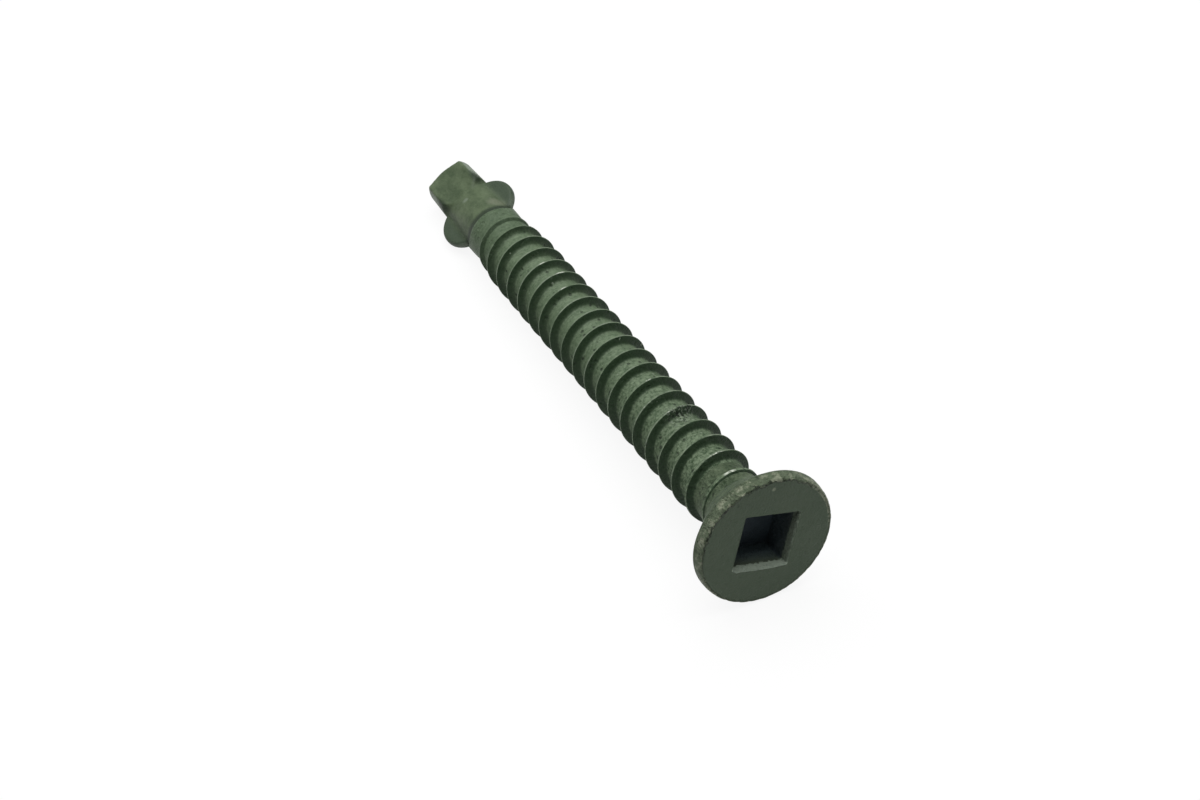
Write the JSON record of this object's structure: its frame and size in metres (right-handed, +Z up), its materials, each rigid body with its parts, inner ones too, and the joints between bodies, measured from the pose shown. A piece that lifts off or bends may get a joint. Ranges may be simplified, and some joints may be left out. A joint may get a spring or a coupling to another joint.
{
  "type": "winged self-drilling screw",
  "caption": "Winged self-drilling screw for fibre cement sheet: flat countersunk head with a square recess, coarse right-hand thread and a short drill end, in a dull green coating.",
  "frame": {"origin": "on the floor, under the middle of the lying screw's box", "axes": "+X along the lying screw towards the head, +Y level across it, +Z up; the screw lies on its head rim and a thread crest, so its axis dips 3.4 degrees towards the point"},
  "size_m": [0.0442, 0.0082, 0.0083],
  "materials": {
    "coating": "matt, slightly grainy"
  },
  "bodies": {
    "root": {"screw": "coating"}
  },
  "joints": []
}
